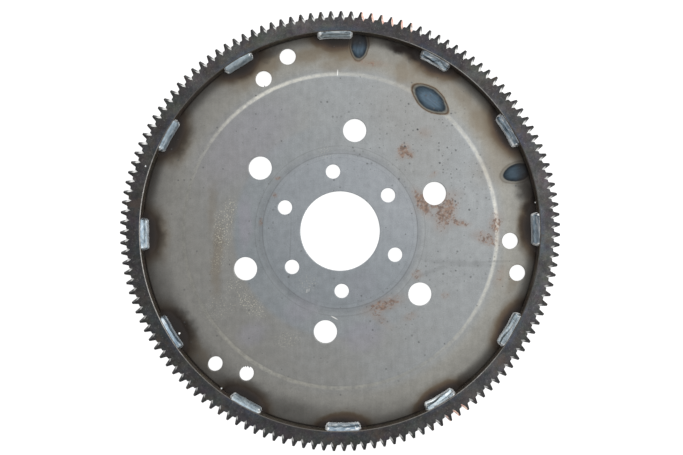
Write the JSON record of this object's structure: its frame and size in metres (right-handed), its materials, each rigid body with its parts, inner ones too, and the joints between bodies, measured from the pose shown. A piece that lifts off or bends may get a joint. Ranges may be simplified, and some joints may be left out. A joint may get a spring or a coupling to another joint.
{
  "type": "flexplate",
  "caption": "Stamped steel flexplate with a raised middle, bolt and lightening holes, a starter ring gear welded round the rim and a balance weight on the back.",
  "frame": {"origin": "on the axis of the centre bore, level with the lowest face, which is the outer face of the balance weight", "axes": "+Z along the axis towards the engine side, which faces up; +X to the picture's right and +Y to its top"},
  "size_m": [0.3472, 0.3471, 0.0156],
  "materials": {
    "plate_steel": "bare stamped steel with rust specks and brown weld heat marks",
    "ring_steel": "dark grey hardened steel, lighter where the teeth are chamfered",
    "weld_metal": "blue-grey rippled weld metal with silver ends",
    "weight_steel": "plain bare steel"
  },
  "bodies": {
    "root": {"plate": "plate_steel", "ring_gear": "ring_steel", "ring_weld_01": "weld_metal", "ring_weld_02": "weld_metal", "ring_weld_03": "weld_metal", "ring_weld_04": "weld_metal", "ring_weld_05": "weld_metal", "ring_weld_06": "weld_metal", "ring_weld_07": "weld_metal", "ring_weld_08": "weld_metal", "ring_weld_09": "weld_metal", "ring_weld_10": "weld_metal", "ring_weld_11": "weld_metal", "ring_weld_12": "weld_metal", "balance_weight": "weight_steel", "weight_weld_1": "weld_metal", "weight_weld_2": "weld_metal", "weight_weld_3": "weld_metal"}
  },
  "joints": []
}
